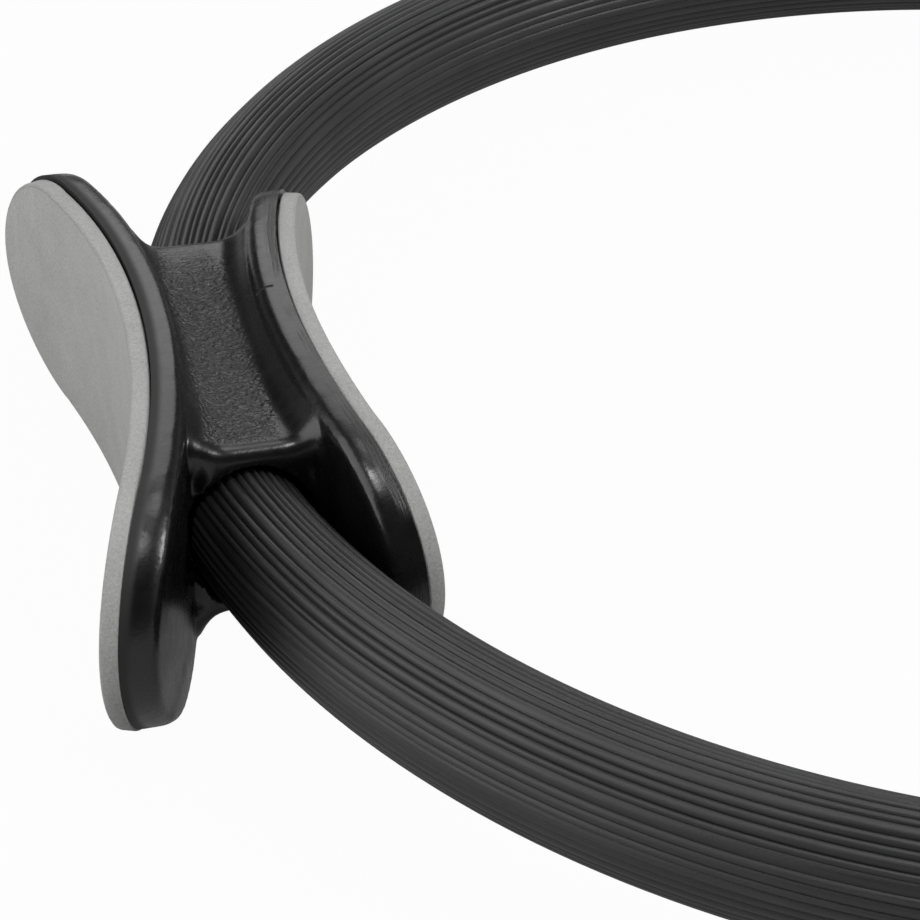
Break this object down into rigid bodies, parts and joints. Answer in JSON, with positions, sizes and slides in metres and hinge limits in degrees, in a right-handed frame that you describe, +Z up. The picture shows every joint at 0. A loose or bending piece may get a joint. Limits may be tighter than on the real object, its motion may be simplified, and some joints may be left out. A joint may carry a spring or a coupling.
{
  "type": "pilates ring",
  "caption": "Round springy exercise ring in a ribbed sleeve, squeezed between two padded spool-shaped handles.",
  "frame": {"origin": "centre of the ring, on its middle plane", "axes": "+X from the left handle to the right one, +Y from the front bow to the back one, +Z up when the ring lies flat"},
  "size_m": [0.391, 0.3564, 0.051],
  "materials": {
    "handle": "satin, grained",
    "foam": "matt closed-cell foam",
    "adhesive": "dull film",
    "sleeve": "satin, ribbed",
    "strip": "fibreglass",
    "plate": "zinc plated",
    "screw": "zinc plated"
  },
  "bodies": {
    "left_handle": {"left_handle_body": "handle", "left_outer_pad": "foam", "left_inner_pad": "foam", "left_outer_pad_tape": "adhesive", "left_inner_pad_tape": "adhesive", "left_clamp_plate": "plate", "left_nut_plate": "plate", "left_clamp_screws": "screw"},
    "front_left": {"front_left_sleeve": "sleeve", "front_spring_strip": "strip"},
    "front_right": {"front_right_sleeve": "sleeve"},
    "right_handle": {"right_handle_body": "handle", "right_outer_pad": "foam", "right_inner_pad": "foam", "right_outer_pad_tape": "adhesive", "right_inner_pad_tape": "adhesive", "right_clamp_plate": "plate", "right_nut_plate": "plate", "right_clamp_screws": "screw"},
    "back_left": {"back_left_sleeve": "sleeve"},
    "back_right": {"back_right_sleeve": "sleeve", "back_spring_strip": "strip"}
  },
  "joints": [
    {"name": "left_front_flex", "type": "hinge", "parent": "left_handle", "child": "front_left", "pos_m": [-0.16416, -0.0357, 0], "axis": [0, 0, -1], "range_deg": [-2, 12], "stiffness_Nm_per_rad": 130, "deforming": ["front_spring_strip", "back_spring_strip"]},
    {"name": "front_bow", "type": "hinge", "parent": "front_left", "child": "front_right", "pos_m": [0, -0.1578, 0], "axis": [0, 0, 1], "range_deg": [-4, 24]},
    {"name": "right_front_flex", "type": "hinge", "parent": "front_right", "child": "right_handle", "pos_m": [0.16416, -0.0357, 0], "axis": [0, 0, -1], "range_deg": [-2, 12]},
    {"name": "left_back_flex", "type": "hinge", "parent": "left_handle", "child": "back_left", "pos_m": [-0.16416, 0.0357, 0], "axis": [0, 0, 1], "range_deg": [-2, 12]},
    {"name": "back_bow", "type": "hinge", "parent": "back_left", "child": "back_right", "pos_m": [0, 0.1578, 0], "axis": [0, 0, -1], "range_deg": [-4, 24]}
  ],
  "couplings": [
    {"joint": "front_bow", "follows": "left_front_flex", "ratio": 2},
    {"joint": "right_front_flex", "follows": "left_front_flex", "ratio": 1},
    {"joint": "left_back_flex", "follows": "left_front_flex", "ratio": 1},
    {"joint": "back_bow", "follows": "left_front_flex", "ratio": 2}
  ]
}
